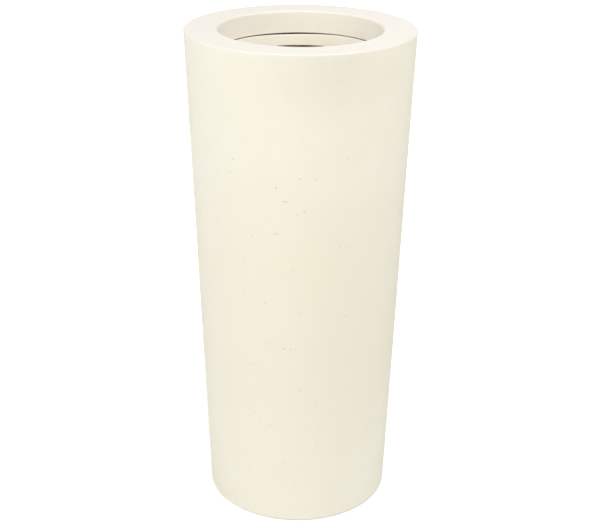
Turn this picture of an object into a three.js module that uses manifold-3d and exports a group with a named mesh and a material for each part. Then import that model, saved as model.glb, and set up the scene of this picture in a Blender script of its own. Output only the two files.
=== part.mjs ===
// A tall round planter in glass-fibre composite: a tapered shell with a flat rim, and a drop-in
// liner that stands on a shelf bonded inside. Millimetres, +Z up. The origin is on the floor, on
// the planter's own axis. The liner's two hand slots face -Y and +Y.

import * as THREE from "three";
import { mergeVertices } from "three/addons/utils/BufferGeometryUtils.js";
import Module from "manifold-3d";

// Outer form
const PLANTER_HEIGHT = 900;
const RIM_RADIUS = 203;
const BASE_RADIUS = 171;
const OPENING_RADIUS = 144;
const RIM_EDGE_ROUNDING = 2;
const BASE_EDGE_ROUNDING = 4;

// Shell laminate
const SHELL_WALL = 5.5;
const SHELL_FLOOR = 8;
const SHELL_FLOOR_COVE = 14;
const SHELL_DRAIN_RADIUS = 12.5;

// Rim moulding: flat top, down-turned collar in the mouth, bonding skirt against the shell
const RIM_WALL = 5;
const RIM_CORE_ROUNDING = 6;
const MOUTH_EDGE_ROUNDING = 4;
const COLLAR_DEPTH = 41;
const COLLAR_EDGE_ROUNDING = 1.2;
const SKIRT_DEPTH = 60;

// Liner
const LINER_HEIGHT = 300;
const LINER_WALL = 4;
const LINER_FLOOR = 5;
const LINER_DRAFT = 13.5;
const LINER_CLEARANCE = 2;
const LINER_DROP = 2;
const LINER_EDGE_ROUNDING = 1.2;
const LINER_FOOT_ROUNDING = 7;
const LINER_FLOOR_COVE = 10;
const HAND_SLOT_WIDTH = 112;
const HAND_SLOT_HEIGHT = 32;
const HAND_SLOT_DROP = 19.3;

// Shelf that carries the liner
const SHELF_THICKNESS = 5;
const SHELF_SEAT_DEPTH = 6;
const SHELF_SEAT_CLEARANCE = 1.5;
const SHELF_SEAT_ROUNDING = 2.5;
const SHELF_FLANGE_DEPTH = 36;
const SHELF_FLANGE_ROUNDING = 6;
const SHELF_DRAIN_RADIUS = 21;

// Rubber stopper in the liner's drain hole
const STOPPER_RADIUS = 11.7;
const STOPPER_TAPER = 1.2;
const STOPPER_FIT = 0.3;
const STOPPER_TAIL = 6;
const STOPPER_HEAD_MARGIN = 7;
const STOPPER_HEAD_HEIGHT = 4;
const STOPPER_NECK_RADIUS = 4;
const STOPPER_NECK_HEIGHT = 6;
const STOPPER_KNOB_RADIUS = 8;
const STOPPER_KNOB_HEIGHT = 6;

// Rubber pads under the floor
const PAD_COUNT = 4;
const PAD_RADIUS = 15;
const PAD_PROUD = 2;
const PAD_SEAT_DEPTH = 2;
const PAD_EDGE_ROUNDING = 1.5;
const PAD_INSET = 38;

// Gap kept between pieces that touch or are bonded
const SEAT_GAP = 0.3;

const SHELL_FACETS = 96;
const LINER_FACETS = 60;
const PAD_FACETS = 24;
const ARC_TOLERANCE = 0.2;
const MERGE_DISTANCE = 1e-4;

// Heights that follow from the sizes above, from the floor up
const shellBottom = PAD_PROUD;
const shellFloorTop = shellBottom + SHELL_FLOOR;
const rimTop = PLANTER_HEIGHT;
const collarBottom = rimTop - COLLAR_DEPTH;
const linerTop = collarBottom - LINER_DROP;
const linerBottom = linerTop - LINER_HEIGHT;
const linerFloorTop = linerBottom + LINER_FLOOR;
const shelfSeatTop = linerBottom - SEAT_GAP;
const shelfTop = shelfSeatTop + SHELF_SEAT_DEPTH;

// Radii that follow from them
const linerTopRadius = OPENING_RADIUS - LINER_CLEARANCE;
const linerBottomRadius = linerTopRadius - LINER_DRAFT;
const linerDrainRadius = STOPPER_RADIUS + STOPPER_FIT;
const shelfSeatRadius = linerBottomRadius + SHELF_SEAT_CLEARANCE;
const padCircleRadius = BASE_RADIUS - PAD_INSET;

// Outside radius of the straight tapered wall at a height, and the radius inside the laminate.
function outerRadius(z) {
  const rise = (z - shellBottom) / (rimTop - shellBottom);
  return BASE_RADIUS + (RIM_RADIUS - BASE_RADIUS) * rise;
}

function innerRadius(z) {
  return outerRadius(z) - SHELL_WALL;
}

// Radius of a piece bonded to the inside of the wall.
function bondRadius(z) {
  return innerRadius(z) - SEAT_GAP;
}

// Radius inside the liner's drafted wall.
function linerInnerRadius(z) {
  return linerBottomRadius + LINER_DRAFT * (z - linerBottom) / LINER_HEIGHT - LINER_WALL;
}

// The points of a corner rounded by an arc, between the corners before and after it.
function roundedCorner(before, corner, after, rounding) {
  const toBefore = before.clone().sub(corner).normalize();
  const toAfter = after.clone().sub(corner).normalize();
  const halfAngle = Math.acos(THREE.MathUtils.clamp(toBefore.dot(toAfter), -1, 1)) / 2;
  const bisector = toBefore.clone().add(toAfter).normalize();
  const centre = corner.clone().addScaledVector(bisector, rounding / Math.sin(halfAngle));
  const start = corner.clone().addScaledVector(toBefore, rounding / Math.tan(halfAngle));
  const turn = Math.PI - 2 * halfAngle;
  const side = Math.sign(toAfter.cross(toBefore));
  const widestStep = 2 * Math.acos(1 - Math.min(1, ARC_TOLERANCE / rounding));
  const steps = Math.max(2, Math.ceil(turn / widestStep));
  return Array.from({ length: steps + 1 }, (_, step) =>
    start.clone().rotateAround(centre, side * turn * step / steps));
}

// Revolves an outline of [radius, height, rounding] corners about +Z. An outline that starts on
// the axis also ends there; any other closes on itself.
function revolved(corners, facets) {
  const places = corners.map(([radius, height]) => new THREE.Vector2(radius, height));
  const outline = corners.flatMap(([, , rounding = 0], i) =>
    rounding > 0
      ? roundedCorner(places.at(i - 1), places[i], places[(i + 1) % places.length], rounding)
      : [places[i]]);
  if (corners[0][0] > 0) outline.push(outline[0].clone());
  return new THREE.LatheGeometry(outline, facets).rotateX(Math.PI / 2);
}

const manifold = await Module();
manifold.setup();

function solidOf(geometry) {
  const bare = geometry.clone();
  bare.deleteAttribute("normal");
  bare.deleteAttribute("uv");
  const merged = mergeVertices(bare, MERGE_DISTANCE);
  return new manifold.Manifold(new manifold.Mesh({
    numProp: 3,
    vertProperties: new Float32Array(merged.attributes.position.array),
    triVerts: new Uint32Array(merged.index.array),
  }));
}

// The first geometry with the others cut out of it.
function cut(geometry, cutters) {
  const solid = cutters.reduce(
    (left, cutter) => left.subtract(solidOf(cutter)), solidOf(geometry));
  const mesh = solid.getMesh();
  const made = new THREE.BufferGeometry();
  made.setAttribute("position", new THREE.BufferAttribute(mesh.vertProperties, 3));
  made.setIndex(new THREE.BufferAttribute(mesh.triVerts, 1));
  made.computeVertexNormals();
  return made;
}

// The places of the pads: evenly round the floor, between the directions of the hand slots.
function padPlaces() {
  return Array.from({ length: PAD_COUNT }, (_, i) => {
    const angle = 2 * Math.PI * (i + 0.5) / PAD_COUNT;
    return [padCircleRadius * Math.cos(angle), padCircleRadius * Math.sin(angle)];
  });
}

// One laminate from the floor to the top edge, with a drain hole and shallow seats for the pads.
function outerShell() {
  const body = revolved([
    [SHELL_DRAIN_RADIUS, shellBottom],
    [BASE_RADIUS, shellBottom, BASE_EDGE_ROUNDING],
    [RIM_RADIUS, rimTop, RIM_EDGE_ROUNDING],
    [innerRadius(rimTop), rimTop],
    [innerRadius(shellFloorTop), shellFloorTop, SHELL_FLOOR_COVE],
    [SHELL_DRAIN_RADIUS, shellFloorTop],
  ], SHELL_FACETS);
  const seatRadius = PAD_RADIUS + SEAT_GAP;
  const seats = padPlaces().map(([x, y]) =>
    new THREE.CylinderGeometry(seatRadius, seatRadius, 2 * PAD_SEAT_DEPTH, PAD_FACETS)
      .rotateX(Math.PI / 2)
      .translate(x, y, shellBottom));
  return cut(body, seats);
}

// A channel open downwards: its skirt is bonded to the shell and its collar lines the mouth.
function rimCollar() {
  const underside = rimTop - RIM_WALL;
  const skirtBottom = rimTop - SKIRT_DEPTH;
  const collarOutside = OPENING_RADIUS + RIM_WALL;
  return revolved([
    [OPENING_RADIUS, collarBottom, COLLAR_EDGE_ROUNDING],
    [collarOutside, collarBottom],
    [collarOutside, underside, RIM_CORE_ROUNDING],
    [bondRadius(underside) - RIM_WALL, underside, RIM_CORE_ROUNDING],
    [bondRadius(skirtBottom) - RIM_WALL, skirtBottom],
    [bondRadius(skirtBottom), skirtBottom],
    [bondRadius(rimTop), rimTop],
    [OPENING_RADIUS, rimTop, MOUTH_EDGE_ROUNDING],
  ], SHELL_FACETS);
}

// A disc with a round seat for the liner, a drain hole, and a flange turned down along the wall.
function plantingShelf() {
  const underside = shelfTop - SHELF_THICKNESS;
  const seatUnderside = shelfSeatTop - SHELF_THICKNESS;
  const flangeBottom = shelfTop - SHELF_FLANGE_DEPTH;
  return revolved([
    [SHELF_DRAIN_RADIUS, seatUnderside],
    [shelfSeatRadius + SHELF_THICKNESS, seatUnderside, SHELF_SEAT_ROUNDING],
    [shelfSeatRadius + SHELF_THICKNESS, underside, SHELF_SEAT_ROUNDING],
    [bondRadius(underside) - SHELF_THICKNESS, underside, SHELF_FLANGE_ROUNDING],
    [bondRadius(flangeBottom) - SHELF_THICKNESS, flangeBottom],
    [bondRadius(flangeBottom), flangeBottom],
    [bondRadius(shelfTop), shelfTop, SHELF_FLANGE_ROUNDING],
    [shelfSeatRadius, shelfTop, SHELF_SEAT_ROUNDING],
    [shelfSeatRadius, shelfSeatTop, SHELF_SEAT_ROUNDING],
    [SHELF_DRAIN_RADIUS, shelfSeatTop],
  ], LINER_FACETS);
}

// A slot with round ends, right across the liner, so that it cuts both walls.
function handSlots() {
  const end = HAND_SLOT_HEIGHT / 2;
  const reach = HAND_SLOT_WIDTH / 2 - end;
  const slot = new THREE.Shape();
  slot.absarc(reach, 0, end, -Math.PI / 2, Math.PI / 2);
  slot.absarc(-reach, 0, end, Math.PI / 2, 3 * Math.PI / 2);
  const length = 3 * linerTopRadius;
  return new THREE.ExtrudeGeometry(slot, { depth: length, bevelEnabled: false, curveSegments: 10 })
    .rotateX(Math.PI / 2)
    .translate(0, length / 2, linerTop - HAND_SLOT_DROP - end);
}

// A drafted pot that passes through the collar, with a flat floor and a drain hole.
function liner() {
  const pot = revolved([
    [linerDrainRadius, linerBottom],
    [linerBottomRadius, linerBottom, LINER_FOOT_ROUNDING],
    [linerTopRadius, linerTop, LINER_EDGE_ROUNDING],
    [linerTopRadius - LINER_WALL, linerTop, LINER_EDGE_ROUNDING],
    [linerInnerRadius(linerFloorTop), linerFloorTop, LINER_FLOOR_COVE],
    [linerDrainRadius, linerFloorTop],
  ], LINER_FACETS);
  return cut(pot, [handSlots()]);
}

// A tapered plug with a head that rests on the liner's floor and a knob to pull it by.
function stopper() {
  const headBottom = linerFloorTop + SEAT_GAP;
  const headTop = headBottom + STOPPER_HEAD_HEIGHT;
  const knobBottom = headTop + STOPPER_NECK_HEIGHT;
  const knobTop = knobBottom + STOPPER_KNOB_HEIGHT;
  const headRadius = linerDrainRadius + STOPPER_HEAD_MARGIN;
  return revolved([
    [0, linerBottom - STOPPER_TAIL],
    [STOPPER_RADIUS - STOPPER_TAPER, linerBottom - STOPPER_TAIL, 1],
    [STOPPER_RADIUS, headBottom],
    [headRadius, headBottom],
    [headRadius, headTop, STOPPER_HEAD_HEIGHT / 2],
    [STOPPER_NECK_RADIUS, headTop, STOPPER_HEAD_HEIGHT / 2],
    [STOPPER_NECK_RADIUS, knobBottom, 1],
    [STOPPER_KNOB_RADIUS, knobBottom, 1],
    [STOPPER_KNOB_RADIUS, knobTop, STOPPER_KNOB_HEIGHT / 2],
    [0, knobTop],
  ], PAD_FACETS);
}

// A disc that stands on the floor and is let into its seat.
function footPad() {
  const padTop = shellBottom + PAD_SEAT_DEPTH - SEAT_GAP;
  return revolved([
    [0, 0],
    [PAD_RADIUS, 0, PAD_EDGE_ROUNDING],
    [PAD_RADIUS, padTop],
    [0, padTop],
  ], PAD_FACETS);
}

function piece(name, geometry, color, roughness, metalness = 0) {
  const material = new THREE.MeshStandardMaterial({ color, roughness, metalness });
  const mesh = new THREE.Mesh(geometry, material);
  mesh.name = name;
  return mesh;
}

const planter = new THREE.Group();
planter.add(piece("outer_shell", outerShell(), 0xf3ebdb, 0.78));
planter.add(piece("rim_collar", rimCollar(), 0xf5eee0, 0.74));
planter.add(piece("planting_shelf", plantingShelf(), 0xb9ad8c, 0.6));

const linerGroup = new THREE.Group();
linerGroup.add(piece("liner", liner(), 0xf1e6d2, 0.72));
linerGroup.add(piece("liner_stopper", stopper(), 0x23211f, 0.85));
planter.add(linerGroup);

padPlaces().forEach(([x, y], i) => {
  const pad = piece(`foot_pad_${i + 1}`, footPad(), 0x262524, 0.9);
  pad.position.set(x, y, 0);
  planter.add(pad);
});

export default planter;
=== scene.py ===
import math
import random

import bpy
from mathutils import Matrix, Vector


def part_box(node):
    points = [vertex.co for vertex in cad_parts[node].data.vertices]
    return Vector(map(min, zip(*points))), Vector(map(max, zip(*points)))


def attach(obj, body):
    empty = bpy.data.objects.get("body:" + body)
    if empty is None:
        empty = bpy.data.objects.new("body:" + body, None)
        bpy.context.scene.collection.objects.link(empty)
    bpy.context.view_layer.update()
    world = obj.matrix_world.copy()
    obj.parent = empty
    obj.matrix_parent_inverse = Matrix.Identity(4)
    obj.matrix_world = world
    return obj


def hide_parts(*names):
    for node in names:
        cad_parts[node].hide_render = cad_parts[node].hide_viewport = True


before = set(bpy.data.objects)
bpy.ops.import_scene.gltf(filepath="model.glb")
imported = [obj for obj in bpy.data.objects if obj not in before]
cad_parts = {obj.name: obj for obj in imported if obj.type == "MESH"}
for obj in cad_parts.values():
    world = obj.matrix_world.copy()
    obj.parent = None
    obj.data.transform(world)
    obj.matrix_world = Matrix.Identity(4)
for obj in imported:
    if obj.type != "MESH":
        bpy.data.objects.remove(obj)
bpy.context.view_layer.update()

# ---------------------------------------------------------------------------------------------
# Camera. It stands where the photographer's did: 2.14 m in front of the planter and 1.36 m up,
# tilted down and rolled by less than half a degree. The photo is 600 by 527 pixels.
photo_width = 600
photo_height = 527
camera_distance = 2.1379
camera_height = 1.3622
tilt_down = math.radians(22.97)
turn_right = math.radians(0.06)
roll = math.radians(0.453)
lens_mm = 74.47
sensor_mm = 36.0

camera_data = bpy.data.cameras.new("photo_camera")
camera_data.sensor_fit = "HORIZONTAL"
camera_data.sensor_width = sensor_mm
camera_data.lens = lens_mm
camera_data.clip_start = 0.05
camera_data.clip_end = 50.0
camera = bpy.data.objects.new("photo_camera", camera_data)
bpy.context.scene.collection.objects.link(camera)
camera_turn = (
    Matrix.Rotation(-turn_right, 4, "Z")
    @ Matrix.Rotation(math.pi / 2 - tilt_down, 4, "X")
    @ Matrix.Rotation(roll, 4, "Z")
)
camera.matrix_world = Matrix.Translation((0.0, -camera_distance, camera_height)) @ camera_turn
bpy.context.scene.camera = camera
bpy.context.scene.view_settings.view_transform = "Standard"

# ---------------------------------------------------------------------------------------------
# Studio. A plain pale floor, a white surround and four wide soft lamps: one well round to the left,
# one in front, one above and a weak one behind, so that every side and the inside of the mouth are
# lit about as brightly as each other. To the camera the floor is lifted to white.
floor_reach = 12.0
floor_colour = (0.88, 0.88, 0.88, 1.0)
floor_lift = 0.4
far_floor_lift = 1.0
far_floor_starts = 0.7
far_floor_whole = 1.6
surround_light = 0.42
lamp_width = 2.4
left_lamp = ((-2.6, -1.5, 2.0), 48.0, (0.975, 1.0, 1.0))
front_lamp = ((1.3, -2.8, 2.4), 30.0, (1.0, 0.965, 0.74))
upper_lamp = ((1.5, -0.8, 3.1), 39.0, (0.92, 0.96, 1.06))
back_lamp = ((0.4, 3.0, 1.2), 22.0, (1.0, 0.98, 0.93))
lamp_aim = (0.0, 0.0, 0.6)


class Wire:
    """One output socket of a node tree. A sum, difference or product of wires adds a Math node,
    and node() adds any other node, with its settings first and then its inputs."""

    def __init__(self, tree, socket=None):
        self.tree = tree
        self.socket = socket

    def node(self, kind, settings=None, inputs=None, output=0):
        made = self.tree.nodes.new(kind)
        for name, value in (settings or {}).items():
            setattr(made, name, value)
        for key, value in (inputs or {}).items():
            if isinstance(value, Wire):
                self.tree.links.new(value.socket, made.inputs[key])
            else:
                made.inputs[key].default_value = value
        return Wire(self.tree, made.outputs[output] if made.outputs else None)

    def maths(self, operation, first, second):
        return self.node("ShaderNodeMath", {"operation": operation}, {0: first, 1: second})

    def __add__(self, other):
        return self.maths("ADD", self, other)

    def __radd__(self, other):
        return self.maths("ADD", other, self)

    def __sub__(self, other):
        return self.maths("SUBTRACT", self, other)

    def __rsub__(self, other):
        return self.maths("SUBTRACT", other, self)

    def __mul__(self, other):
        return self.maths("MULTIPLY", self, other)

    def __rmul__(self, other):
        return self.maths("MULTIPLY", other, self)

    def vector_maths(self, operation, other):
        return self.node("ShaderNodeVectorMath", {"operation": operation}, {0: self, 1: other})

    def length(self):
        return self.node("ShaderNodeVectorMath", {"operation": "LENGTH"}, {0: self}, "Value")

    def noise(self, scale, detail=2.0, roughness=0.5):
        """Noise at the place that this gives."""
        return self.node("ShaderNodeTexNoise", None, {
            "Vector": self, "Scale": scale, "Detail": detail, "Roughness": roughness})

    def relief(self, strength, depth):
        """Bumps with this as their height."""
        return self.node(
            "ShaderNodeBump", None, {"Strength": strength, "Distance": depth, "Height": self})

    def between(self, low, high):
        """0 where this is below low, 1 above high, with a soft step from one to the other."""
        return self.node(
            "ShaderNodeMapRange", {"interpolation_type": "SMOOTHSTEP"},
            {"Value": self, "From Min": low, "From Max": high})

    def blend(self, first, second):
        """The first colour where this is 0 and the second where it is 1."""
        return self.node(
            "ShaderNodeMix", {"data_type": "RGBA"}, {0: self, 6: first, 7: second}, output=2)


def new_material(name):
    """A bare material and the wire that its nodes are made with."""
    material = bpy.data.materials.new(name)
    material.use_nodes = True
    material.node_tree.nodes.clear()
    return material, Wire(material.node_tree)


def finish_material(wire, shader):
    wire.node("ShaderNodeOutputMaterial", None, {"Surface": shader})


def add_floor():
    mesh = bpy.data.meshes.new("studio_floor")
    corners = [(x * floor_reach, y * floor_reach, 0.0)
               for x, y in ((-1, -1), (1, -1), (1, 1), (-1, 1))]
    mesh.from_pydata(corners, [], [(0, 1, 2, 3)])
    floor = bpy.data.objects.new("studio_floor", mesh)
    bpy.context.scene.collection.objects.link(floor)
    material, wire = new_material("pale floor")
    lit = wire.node("ShaderNodeBsdfPrincipled", None, {
        "Base Color": floor_colour, "Roughness": 0.9, "Specular IOR Level": 0.1})
    seen = wire.node("ShaderNodeLightPath", output="Is Camera Ray")
    place = wire.node("ShaderNodeTexCoord", output="Object")
    far = place.length().between(far_floor_starts, far_floor_whole)
    lift = wire.node("ShaderNodeEmission", None, {
        "Strength": seen * (floor_lift + far * (far_floor_lift - floor_lift))})
    finish_material(wire, wire.node("ShaderNodeAddShader", None, {0: lit, 1: lift}))
    mesh.materials.append(material)


def add_surround():
    world = bpy.data.worlds.new("studio surround")
    world.use_nodes = True
    world.node_tree.nodes.clear()
    wire = Wire(world.node_tree)
    seen = [wire.node("ShaderNodeLightPath", output=name)
            for name in ("Is Camera Ray", "Is Glossy Ray", "Is Transmission Ray")]
    shown = wire.maths("MAXIMUM", seen[0], wire.maths("MAXIMUM", seen[1], seen[2]))
    strength = surround_light + shown * (1.0 - surround_light)
    light = wire.node("ShaderNodeBackground", None, {
        "Color": (1.0, 1.0, 1.0, 1.0), "Strength": strength})
    wire.node("ShaderNodeOutputWorld", None, {"Surface": light})
    bpy.context.scene.world = world


def add_lamp(name, place, watts, colour):
    lamp = bpy.data.lights.new(name, "AREA")
    lamp.shape = "DISK"
    lamp.size = lamp_width
    lamp.energy = watts
    lamp.color = colour
    lamp_object = bpy.data.objects.new(name, lamp)
    bpy.context.scene.collection.objects.link(lamp_object)
    lamp_object.location = place
    aim = Vector(lamp_aim) - Vector(place)
    lamp_object.rotation_euler = aim.to_track_quat("-Z", "Y").to_euler()


add_floor()
add_surround()
add_lamp("left_lamp", *left_lamp)
add_lamp("front_lamp", *front_lamp)
add_lamp("upper_lamp", *upper_lamp)
add_lamp("back_lamp", *back_lamp)

# ---------------------------------------------------------------------------------------------
# Shell. One hand-laid glass-fibre moulding, wall and floor together, raw inside and sprayed
# outside with a matt mineral coat. Air caught under the coat leaves small open pits all over the
# wall, 1.5 to 4 mm across, and the front has two short level scratches.
shell_low, shell_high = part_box("outer_shell")
shell_bottom = shell_low[2]
shell_top = shell_high[2]
rim_radius = 0.203
base_radius = 0.171
shell_wall = 0.0055
shell_floor = 0.008
shell_floor_cove = 0.014
drain_radius = 0.0125
drain_edge_rounding = 0.001
rim_edge_rounding = 0.002
base_edge_rounding = 0.004
wall_taper = (rim_radius - base_radius) / (shell_top - shell_bottom)
opening_radius = 0.144
shell_facets = 256
longest_step = 0.03
widest_arc_step = math.radians(9)
axis_hair = 1e-7
face_hair = 0.0001
raw_beyond = 0.9
sharp_edge = math.radians(38)

# The coat is paler in wide clouds and deeper in small patches and through the middle of the wall.
# The top and the collar in the mouth are painted paler, a painted highlight for the stronger light
# there, and one place under the rim is darker and greyer.
cream = (0.885, 0.838, 0.715, 1.0)
cream_pale = (0.90, 0.862, 0.755, 1.0)
cream_deep = (0.85, 0.79, 0.66, 1.0)
cloud_share = 0.7
patch_share = 0.3
pale_clouds = (0.42, 0.66)
deep_patches = (0.52, 0.72)
deep_patch_strength = 0.3
middle_begins = (0.1, 0.35)
middle_ends = (0.5, 0.78)
middle_strength = 0.5
# A darker, greyer patch of the coat just under the rim at the front, patchy and fading out over its
# reach.
cream_under_rim_patch = (0.80, 0.742, 0.655, 1.0)
under_rim_patch_place = (0.05, -0.19, 0.862)
under_rim_patch_squash = (0.65, 0.5, 1.1)
under_rim_patch_reach = 0.11
under_rim_patch_least = 0.25
under_rim_patch_patchiness = 0.6
# Painted highlight: the top face and the collar in the mouth take this paler, less yellow colour in
# place of the stronger light on them.
cream_painted_light = (0.91, 0.863, 0.782, 1.0)
painted_light_depth = 0.005
collar_begins = (0.8, 0.85)

# The raw laminate shows pale strands of glass in three lays, each a turn and a fineness.
resin = (0.56, 0.48, 0.32, 1.0)
glass_strand = (0.70, 0.63, 0.49, 1.0)
strand_lays = ((0.4, 34.0), (1.5, 41.0), (2.6, 38.0))
strand_tilt = 0.7
strand_slimness = 9.0
strand_edge = (0.52, 0.62)
strand_strength = 0.75


def shell_radius(height):
    """Outside radius of the straight tapered wall at a height."""
    rise = (height - shell_bottom) / (shell_top - shell_bottom)
    return base_radius + (rim_radius - base_radius) * rise


def rounded_corner(before, corner, after, rounding):
    """Points of the arc that rounds a corner of an outline."""
    to_before = (before - corner).normalized()
    to_after = (after - corner).normalized()
    half_angle = to_before.angle(to_after) / 2
    centre = corner + (to_before + to_after).normalized() * rounding / math.sin(half_angle)
    start = corner + to_before * rounding / math.tan(half_angle) - centre
    turn = math.pi - 2 * half_angle
    side = 1 if to_after.cross(to_before) > 0 else -1
    steps = max(3, round(turn / widest_arc_step))
    points = []
    for step in range(steps + 1):
        points.append(centre + Matrix.Rotation(side * turn * step / steps, 2) @ start)
    return points


def turned(name, corners, facets):
    """A mesh turned about the planter's axis from (radius, height, rounding) corners, given
    anticlockwise, so that its faces point out. It closes on itself or on the axis."""
    places = [Vector((corner[0], corner[1])) for corner in corners]
    outline = []
    for i, corner in enumerate(corners):
        rounding = corner[2] if len(corner) > 2 else 0
        if rounding:
            after = places[(i + 1) % len(places)]
            outline += rounded_corner(places[i - 1], places[i], after, rounding)
        else:
            outline.append(places[i])
    on_axis = corners[0][0] == 0
    ends = outline[1:] if on_axis else outline[1:] + outline[:1]
    stepped = []
    for start, end in zip(outline, ends):
        steps = max(1, math.ceil((end - start).length / longest_step))
        stepped += [start.lerp(end, step / steps) for step in range(steps)]
    if on_axis:
        stepped.append(outline[-1])
    vertices = []
    rings = []
    for point in stepped:
        if point.x < axis_hair:
            rings.append([len(vertices)] * facets)
            vertices.append((0.0, 0.0, point.y))
            continue
        rings.append(list(range(len(vertices), len(vertices) + facets)))
        for facet in range(facets):
            angle = 2 * math.pi * facet / facets
            vertices.append((point.x * math.cos(angle), point.x * math.sin(angle), point.y))
    faces = []
    above = rings[1:] if on_axis else rings[1:] + rings[:1]
    for ring, upper in zip(rings, above):
        for facet in range(facets):
            beyond = (facet + 1) % facets
            corners_of_face = [ring[facet], ring[beyond], upper[beyond], upper[facet]]
            faces.append(list(dict.fromkeys(corners_of_face)))
    mesh = bpy.data.meshes.new(name)
    mesh.from_pydata(vertices, [], faces)
    piece = bpy.data.objects.new(name, mesh)
    bpy.context.scene.collection.objects.link(piece)
    return piece


def as_plain_mesh(piece):
    """Turns a piece's modifiers into its mesh."""
    graph = bpy.context.evaluated_depsgraph_get()
    mesh = bpy.data.meshes.new_from_object(piece.evaluated_get(graph))
    piece.modifiers.clear()
    piece.data = mesh


def smooth(piece):
    """Shades the faces smooth, apart from sharp edges. The big flat faces keep their own
    direction, so that a rounding beside them shades as a rounding."""
    piece.data.shade_smooth()
    piece.data.set_sharp_from_angle(angle=sharp_edge)
    weighting = piece.modifiers.new("flat faces stay flat", "WEIGHTED_NORMAL")
    weighting.keep_sharp = True
    as_plain_mesh(piece)


def cream_coat():
    material, wire = new_material("cream mineral coat")
    place = wire.node("ShaderNodeTexCoord", output="Object")
    clouds = place.noise(scale=5.0, detail=3.0, roughness=0.55)
    patches = place.noise(scale=19.0, detail=4.0, roughness=0.6)
    tooth = place.noise(scale=700.0)
    ripple = place.noise(scale=45.0)
    clouded = (clouds * cloud_share + patches * patch_share).between(*pale_clouds)
    colour = clouded.blend(cream, cream_pale)
    colour = (patches.between(*deep_patches) * deep_patch_strength).blend(colour, cream_deep)
    # The coat turns darker and greyer in a squashed patch just under the rim at the front.
    off_patch = place.vector_maths("SUBTRACT", under_rim_patch_place)
    off_patch = off_patch.vector_maths("MULTIPLY", under_rim_patch_squash)
    under_rim_patch = 1.0 - off_patch.length().between(0.0, under_rim_patch_reach)
    under_rim_patch = under_rim_patch * (under_rim_patch_least + patches * under_rim_patch_patchiness)
    colour = under_rim_patch.blend(colour, cream_under_rim_patch)
    radius = place.vector_maths("MULTIPLY", (1.0, 1.0, 0.0)).length()
    height = wire.node("ShaderNodeSeparateXYZ", None, {"Vector": place}, "Z")
    in_middle = height.between(*middle_begins) * (1.0 - height.between(*middle_ends))
    colour = (in_middle * middle_strength).blend(colour, cream_deep)
    # Painted light: the top face and the collar inside the mouth get the paler colour.
    on_top = height.between(shell_top - painted_light_depth, shell_top)
    in_mouth = 1.0 - radius.between(opening_radius, opening_radius + painted_light_depth)
    painted_light = wire.maths("MAXIMUM", on_top, in_mouth * height.between(*collar_begins))
    colour = painted_light.blend(colour, cream_painted_light)
    relief = (tooth * 0.5 + ripple * 0.5).relief(strength=0.25, depth=0.0004)
    shader = wire.node("ShaderNodeBsdfPrincipled", None, {
        "Base Color": colour, "Roughness": 0.68 + patches * 0.2,
        "Specular IOR Level": 0.12, "Normal": relief})
    finish_material(wire, shader)
    return material


def raw_laminate():
    material, wire = new_material("raw glass-fibre laminate")
    place = wire.node("ShaderNodeTexCoord", output="Object")
    layers = []
    for turn, fineness in strand_lays:
        turned_place = wire.node("ShaderNodeMapping", None, {
            "Vector": place, "Rotation": (turn, strand_tilt * turn, turn),
            "Scale": (1.0, strand_slimness, strand_slimness)})
        layers.append(turned_place.noise(scale=fineness).between(*strand_edge))
    strands = wire.maths("MAXIMUM", layers[0], wire.maths("MAXIMUM", layers[1], layers[2]))
    relief = strands.relief(strength=0.6, depth=0.0006)
    shader = wire.node("ShaderNodeBsdfPrincipled", None, {
        "Base Color": (strands * strand_strength).blend(resin, glass_strand),
        "Roughness": 0.38 + strands * 0.2, "Normal": relief})
    finish_material(wire, shader)
    return material


coat = cream_coat()
laminate = raw_laminate()
shell = turned("shell", [
    (drain_radius, shell_bottom, drain_edge_rounding),
    (base_radius, shell_bottom, base_edge_rounding),
    (rim_radius, shell_top, rim_edge_rounding),
    (rim_radius - shell_wall, shell_top),
    (shell_radius(shell_bottom + shell_floor) - shell_wall, shell_bottom + shell_floor,
     shell_floor_cove),
    (drain_radius, shell_bottom + shell_floor, drain_edge_rounding),
], shell_facets)
shell.data.materials.append(coat)
shell.data.materials.append(laminate)
for face in shell.data.polygons:
    centre = face.center
    inside = math.hypot(centre.x, centre.y) < shell_radius(centre.z) - raw_beyond * shell_wall
    above_floor = centre.z > shell_bottom + 0.5 * shell_floor
    if inside and above_floor and centre.z < shell_top - face_hair:
        face.material_index = 1

# The front pits and scratches sit where the photo has them, each given by its pixel and its
# width in mm; on the rest of the wall the pits are strewn at random.
pit_pixels = [
    (233, 159, 2.6), (251, 162, 2.0), (218, 170, 2.4), (230, 172, 1.8), (348, 159, 2.2),
    (275, 178, 2.0), (300, 179, 2.4), (316, 180, 2.2), (276, 188, 3.0), (250, 210, 2.2),
    (305, 212, 2.4), (297, 215, 2.0), (252, 217, 1.8), (212, 222, 2.4), (252, 236, 2.2),
    (340, 246, 2.4), (350, 247, 2.0), (244, 261, 2.0), (293, 270, 2.2), (356, 273, 2.0),
    (262, 281, 1.8), (244, 294, 2.2), (260, 297, 2.0), (265, 303, 2.4), (300, 314, 2.0),
    (346, 316, 2.2), (340, 321, 2.0), (267, 344, 2.4), (284, 349, 2.8), (290, 350, 2.2),
    (295, 350, 2.0), (254, 364, 2.2), (244, 364, 1.8), (300, 391, 2.4), (316, 404, 2.2),
    (254, 413, 2.2), (260, 422, 2.0), (270, 425, 2.4), (318, 427, 2.0), (340, 432, 2.2),
    (316, 446, 2.0), (362, 446, 2.2), (354, 461, 2.0), (284, 462, 2.4), (249, 467, 2.0),
    (294, 484, 2.2), (265, 500, 2.0),
]
scratch_pixels = [(285, 202, 13.0), (276, 234, 11.0)]
scratch_width_mm = 1.5
mm_per_metre = 1000
pit_depth_share = 0.45
pit_roundness = 3
front_half_angle = math.radians(78)
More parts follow.
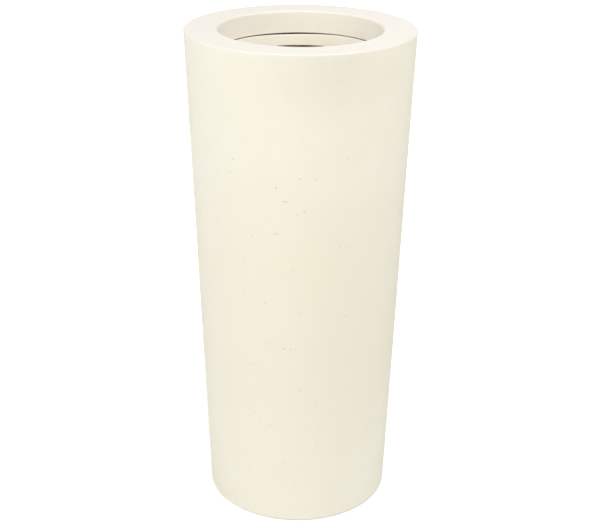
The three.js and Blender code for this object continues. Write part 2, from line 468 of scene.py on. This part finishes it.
strewn_pits = 78
strewn_seed = 11
strewn_pit_mm = (1.6, 3.2)
strewn_stretch = (0.8, 1.4)
strewn_off_edge = 0.03
least_pit_spacing = 0.01
# Inside the pits: the bare coat, darkened further with painted shade for the hollow.
pit_bare_coat_and_shade = (0.66, 0.57, 0.42, 1.0)
pit_bare_coat_and_shade_pale = (0.76, 0.68, 0.53, 1.0)


def wall_point(pixel_x, pixel_y):
    """Where the camera's ray through a pixel of the photo meets the shell's wall."""
    focal = lens_mm / sensor_mm * photo_width
    ray = camera_turn.to_3x3() @ Vector((
        (pixel_x - photo_width / 2) / focal, (photo_height / 2 - pixel_y) / focal, -1.0))
    eye = camera.matrix_world.translation
    radius_at_eye = shell_radius(eye.z)
    a = ray.x ** 2 + ray.y ** 2 - (wall_taper * ray.z) ** 2
    b = eye.x * ray.x + eye.y * ray.y - radius_at_eye * wall_taper * ray.z
    c = eye.x ** 2 + eye.y ** 2 - radius_at_eye ** 2
    distance = (-b - math.sqrt(b * b - a * c)) / a
    return eye + ray * distance


def wall_turn(point):
    """The turn that lays a pit's own axes along the wall: X level, Z out of the wall."""
    fall = -wall_taper * math.hypot(point.x, point.y)
    outward = Vector((point.x, point.y, fall)).normalized()
    level = Vector((-point.y, point.x, 0.0)).normalized()
    return Matrix((level, outward.cross(level), outward)).transposed().to_euler()


def pit_places():
    """Every pit as (place, turn, half sizes) on the wall."""
    places = []
    for pixel_x, pixel_y, width_mm in pit_pixels:
        point = wall_point(pixel_x, pixel_y)
        half = width_mm / 2 / mm_per_metre
        places.append((point, wall_turn(point), (half, half, 2 * half * pit_depth_share)))
    for pixel_x, pixel_y, length_mm in scratch_pixels:
        point = wall_point(pixel_x, pixel_y)
        half_length = length_mm / 2 / mm_per_metre
        half = scratch_width_mm / 2 / mm_per_metre
        places.append((point, wall_turn(point), (half_length, half, half)))
    dice = random.Random(strewn_seed)
    while len(places) < len(pit_pixels) + len(scratch_pixels) + strewn_pits:
        angle = dice.uniform(front_half_angle, 2 * math.pi - front_half_angle) - math.pi / 2
        height = dice.uniform(shell_bottom + strewn_off_edge, shell_top - strewn_off_edge)
        radius = shell_radius(height)
        point = Vector((radius * math.cos(angle), radius * math.sin(angle), height))
        half = dice.uniform(*strewn_pit_mm) / 2 / mm_per_metre
        stretch = dice.uniform(*strewn_stretch)
        size = (half * stretch, half / stretch, 2 * half * pit_depth_share)
        if all((point - other).length > least_pit_spacing for other, _, _ in places):
            places.append((point, wall_turn(point), size))
    return places


def pit_tree(lining):
    """Geometry nodes that set one rounded hollow on each point, sized and turned by it, and the
    name under which a modifier keeps its roundness."""
    tree = bpy.data.node_groups.new("pit hollows", "GeometryNodeTree")
    tree.interface.new_socket("Points", in_out="INPUT", socket_type="NodeSocketGeometry")
    roundness = tree.interface.new_socket("Roundness", in_out="INPUT", socket_type="NodeSocketInt")
    tree.interface.new_socket("Hollows", in_out="OUTPUT", socket_type="NodeSocketGeometry")
    wire = Wire(tree)
    ball = wire.node("GeometryNodeMeshIcoSphere", None, {
        "Radius": 1.0, "Subdivisions": wire.node("NodeGroupInput", output="Roundness")})
    size = wire.node(
        "GeometryNodeInputNamedAttribute", {"data_type": "FLOAT_VECTOR"}, {"Name": "pit_size"})
    turn = wire.node(
        "GeometryNodeInputNamedAttribute", {"data_type": "FLOAT_VECTOR"}, {"Name": "pit_turn"})
    hollows = wire.node("GeometryNodeInstanceOnPoints", None, {
        "Points": wire.node("NodeGroupInput", output="Points"), "Instance": ball,
        "Rotation": wire.node("FunctionNodeEulerToRotation", None, {0: turn}), "Scale": size})
    real = wire.node("GeometryNodeRealizeInstances", None, {"Geometry": hollows})
    lined = wire.node("GeometryNodeSetMaterial", None, {"Geometry": real, "Material": lining})
    wire.node("NodeGroupOutput", None, {"Hollows": lined})
    return tree, roundness.identifier


def bore_pits(piece, places, tree, roundness):
    """Cuts a hollow into a piece at each place."""
    mesh = bpy.data.meshes.new("pit places")
    mesh.from_pydata([place for place, _, _ in places], [], [])
    sizes = mesh.attributes.new("pit_size", "FLOAT_VECTOR", "POINT")
    turns = mesh.attributes.new("pit_turn", "FLOAT_VECTOR", "POINT")
    for i, (_, turn, size) in enumerate(places):
        sizes.data[i].vector = size
        turns.data[i].vector = turn
    hollows = bpy.data.objects.new("pit hollows", mesh)
    bpy.context.scene.collection.objects.link(hollows)
    spreading = hollows.modifiers.new("hollows", "NODES")
    spreading.node_group = tree
    spreading[roundness] = pit_roundness
    as_plain_mesh(hollows)
    cutting = piece.modifiers.new("pits", "BOOLEAN")
    cutting.operation = "DIFFERENCE"
    cutting.solver = "EXACT"
    cutting.material_mode = "TRANSFER"
    cutting.object = hollows
    as_plain_mesh(piece)
    bpy.data.objects.remove(hollows)


def pit_lining():
    """The bare body of the coat that shows inside a pit, darker than the coat, with painted shade
    for the hollow added to its colour.
    """
    material, wire = new_material("bare pit with painted shade")
    place = wire.node("ShaderNodeTexCoord", output="Object")
    shader = wire.node("ShaderNodeBsdfPrincipled", None, {
        "Base Color": place.noise(scale=900.0).blend(pit_bare_coat_and_shade, pit_bare_coat_and_shade_pale),
        "Roughness": 0.9, "Specular IOR Level": 0.1})
    finish_material(wire, shader)
    return material


bore_pits(shell, pit_places(), *pit_tree(pit_lining()))
smooth(shell)
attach(shell, "planter")
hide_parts("outer_shell")

# ---------------------------------------------------------------------------------------------
# Rim. A separate glass-fibre ring with a flat top, a collar turned down into the mouth and a
# skirt bonded inside the shell. The joint is filled, sanded and coated over, so none shows.
rim_wall = 0.005
collar_depth = 0.041
rim_core_rounding = 0.006
mouth_edge_rounding = 0.004
collar_edge_rounding = 0.0012
collar_back_rounding = 0.0004
bond_gap = 0.0003
rim_low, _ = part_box("rim_collar")
collar_bottom = shell_top - collar_depth
rim_underside = shell_top - rim_wall
skirt_bottom = rim_low[2]


def bonded_radius(height):
    """Radius of a piece bonded to the inside of the shell."""
    return shell_radius(height) - shell_wall - bond_gap


rim = turned("rim", [
    (opening_radius, collar_bottom, collar_edge_rounding),
    (opening_radius + rim_wall, collar_bottom, collar_back_rounding),
    (opening_radius + rim_wall, rim_underside, rim_core_rounding),
    (bonded_radius(rim_underside) - rim_wall, rim_underside, rim_core_rounding),
    (bonded_radius(skirt_bottom) - rim_wall, skirt_bottom),
    (bonded_radius(skirt_bottom), skirt_bottom),
    (rim_radius - shell_wall, shell_top),
    (opening_radius, shell_top, mouth_edge_rounding),
], shell_facets)
rim.data.materials.append(coat)
rim.data.materials.append(laminate)
for face in rim.data.polygons:
    centre = face.center
    radius = math.hypot(centre.x, centre.y)
    if radius > opening_radius + raw_beyond * rim_wall and centre.z < shell_top - face_hair:
        face.material_index = 1
smooth(rim)
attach(rim, "planter")
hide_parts("rim_collar")

# ---------------------------------------------------------------------------------------------
# Shelf. A laminate disc bonded across the shell, with a round seat for the liner. It is never
# seen in use, so it stays as it leaves the mould: the solid itself with the raw laminate on it.
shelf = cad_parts["planting_shelf"]
shelf.data.materials.clear()
shelf.data.materials.append(laminate)

# ---------------------------------------------------------------------------------------------
# Liner. A drafted pot that drops through the collar, gel-coated inside, with a duller coat brushed
# on its back, two hand slots and a drain hole. Its top edge, trimmed by hand, dips by 2 mm at the
# far side, so that the dark line between it and the collar is widest there and thins out sideways.
liner_low, liner_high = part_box("liner")
liner_bottom = liner_low[2]
liner_top = liner_high[2]
liner_top_radius = 0.142
liner_bottom_radius = 0.1285
liner_wall = 0.004
liner_floor = 0.005
draft_at_floor = 0.0002
liner_edge_rounding = 0.0012
liner_foot_rounding = 0.007
liner_floor_cove = 0.01
liner_drain_radius = 0.012
liner_facets = 192
slot_width = 0.112
slot_height = 0.032
slot_drop = 0.0193
slot_end_steps = 24
slot_cutter_length = 0.4
trim_dip = 0.002
trim_dip_middle = math.radians(-8)
trim_dip_reach = math.radians(45)
gel_cream = (0.965, 0.91, 0.81, 1.0)
gel_cream_pale = (0.975, 0.93, 0.84, 1.0)
back_cream = (0.81, 0.75, 0.635, 1.0)
back_cream_pale = (0.85, 0.795, 0.68, 1.0)


def liner_coat(name, colour, paler, roughness, grain_scale, grain_depth):
    material, wire = new_material(name)
    place = wire.node("ShaderNodeTexCoord", output="Object")
    clouds = place.noise(scale=14.0, detail=3.0)
    relief = place.noise(scale=grain_scale).relief(strength=0.2, depth=grain_depth)
    shader = wire.node("ShaderNodeBsdfPrincipled", None, {
        "Base Color": clouds.between(0.4, 0.65).blend(colour, paler),
        "Roughness": roughness + clouds * 0.15, "Specular IOR Level": 0.3, "Normal": relief})
    finish_material(wire, shader)
    return material


def slot_cutter():
    """A bar with round ends that passes right across the liner and cuts both slots."""
    end = slot_height / 2
    reach = slot_width / 2 - end
    middle = liner_top - slot_drop - end
    outline = []
    for side, start in ((1, -math.pi / 2), (-1, math.pi / 2)):
        for step in range(slot_end_steps + 1):
            angle = start + math.pi * step / slot_end_steps
            outline.append((side * reach + end * math.cos(angle), middle + end * math.sin(angle)))
    count = len(outline)
    ends = (-slot_cutter_length / 2, slot_cutter_length / 2)
    vertices = [(x, y, z) for y in ends for x, z in outline]
    faces = [list(range(count)), list(reversed(range(count, 2 * count)))]
    for i in range(count):
        beyond = (i + 1) % count
        faces.append([beyond, i, count + i, count + beyond])
    mesh = bpy.data.meshes.new("slot cutter")
    mesh.from_pydata(vertices, [], faces)
    cutter = bpy.data.objects.new("slot cutter", mesh)
    bpy.context.scene.collection.objects.link(cutter)
    return cutter


liner = turned("liner_pot", [
    (liner_drain_radius, liner_bottom),
    (liner_bottom_radius, liner_bottom, liner_foot_rounding),
    (liner_top_radius, liner_top, liner_edge_rounding),
    (liner_top_radius - liner_wall, liner_top, liner_edge_rounding),
    (liner_bottom_radius - liner_wall + draft_at_floor, liner_bottom + liner_floor,
     liner_floor_cove),
    (liner_drain_radius, liner_bottom + liner_floor),
], liner_facets)
liner.data.materials.append(liner_coat(
    "warm cream gel coat", gel_cream, gel_cream_pale,
    roughness=0.5, grain_scale=260.0, grain_depth=0.0003))
liner.data.materials.append(liner_coat(
    "brushed back coat", back_cream, back_cream_pale,
    roughness=0.75, grain_scale=120.0, grain_depth=0.0008))
for face in liner.data.polygons:
    centre = face.center
    rise = (centre.z - liner_bottom) / (liner_top - liner_bottom)
    outside = liner_bottom_radius + (liner_top_radius - liner_bottom_radius) * rise
    at_back = math.hypot(centre.x, centre.y) > outside - liner_wall / 2
    underneath = centre.z < liner_bottom + 0.4 * liner_floor
    if (at_back or underneath) and centre.z < liner_top - liner_wall / 2:
        face.material_index = 1
for vertex in liner.data.vertices:
    if vertex.co.z > liner_top - liner_wall / 2:
        turn = abs(math.atan2(vertex.co.x, vertex.co.y) - trim_dip_middle)
        share = min(turn / trim_dip_reach, 1)
        vertex.co.z += trim_dip * (1 - math.cos(math.pi * share)) / 2
cutter = slot_cutter()
slotting = liner.modifiers.new("hand slots", "BOOLEAN")
slotting.operation = "DIFFERENCE"
slotting.solver = "EXACT"
slotting.object = cutter
as_plain_mesh(liner)
bpy.data.objects.remove(cutter)
smooth(liner)
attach(liner, "liner")
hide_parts("liner")

# ---------------------------------------------------------------------------------------------
# Stopper. A plug moulded in matt black rubber with a faint bloom, pushed into the liner's drain
# hole. Its wide head lies over the liner's floor, and a knob on a neck gives a hand its hold.
black = (0.012, 0.012, 0.012, 1.0)
bloomed = (0.045, 0.043, 0.04, 1.0)
rubber_facets = 64
stopper_foot_radius = 0.0105
stopper_plug_radius = 0.0117
head_radius = 0.019
head_height = 0.004
head_rounding = 0.002
neck_radius = 0.004
neck_height = 0.006
knob_radius = 0.008
knob_rounding = 0.003
moulded_corner = 0.001
tight_corner = 0.0003
head_gap = 0.0003


def black_rubber():
    material, wire = new_material("black rubber")
    place = wire.node("ShaderNodeTexCoord", output="Object")
    bloom = place.noise(scale=120.0, detail=4.0)
    relief = bloom.relief(strength=0.3, depth=0.0002)
    shader = wire.node("ShaderNodeBsdfPrincipled", None, {
        "Base Color": bloom.between(0.35, 0.75).blend(black, bloomed),
        "Roughness": 0.6 + bloom * 0.3, "Specular IOR Level": 0.4, "Normal": relief})
    finish_material(wire, shader)
    return material


rubber = black_rubber()
stopper_low, stopper_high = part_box("liner_stopper")
head_bottom = liner_bottom + liner_floor + head_gap
head_top = head_bottom + head_height
knob_bottom = head_top + neck_height
stopper = turned("stopper", [
    (0, stopper_low[2]),
    (stopper_foot_radius, stopper_low[2], moulded_corner),
    (stopper_plug_radius, head_bottom, tight_corner),
    (head_radius, head_bottom, tight_corner),
    (head_radius, head_top, head_rounding),
    (neck_radius, head_top, head_rounding),
    (neck_radius, knob_bottom, moulded_corner),
    (knob_radius, knob_bottom, moulded_corner),
    (knob_radius, stopper_high[2], knob_rounding),
    (0, stopper_high[2]),
], rubber_facets)
stopper.data.materials.append(rubber)
smooth(stopper)
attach(stopper, "stopper")
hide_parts("liner_stopper")

# ---------------------------------------------------------------------------------------------
# Pads. Four discs of the same rubber, hollowed underneath and glued into round seats in the
# shell's floor. They keep the coat off the ground and the drain hole open.
pad_count = 4
pad_radius = 0.015
pad_ring_radius = 0.0105
pad_hollow_radius = 0.009
pad_hollow_depth = 0.0008
pad_hollow_rounding = 0.0005
pad_edge_rounding = 0.0015

for number in range(1, pad_count + 1):
    pad_low, pad_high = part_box(f"foot_pad_{number}")
    pad_centre = Vector(((pad_low[0] + pad_high[0]) / 2, (pad_low[1] + pad_high[1]) / 2, 0))
    pad = turned(f"pad_{number}", [
        (0, pad_hollow_depth),
        (pad_hollow_radius, pad_hollow_depth, pad_hollow_rounding),
        (pad_ring_radius, 0, pad_hollow_rounding),
        (pad_radius, 0, pad_edge_rounding),
        (pad_radius, pad_high[2], tight_corner),
        (0, pad_high[2]),
    ], rubber_facets)
    pad.data.transform(Matrix.Translation(pad_centre))
    pad.data.materials.append(rubber)
    smooth(pad)
    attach(pad, "planter")
    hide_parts(f"foot_pad_{number}")
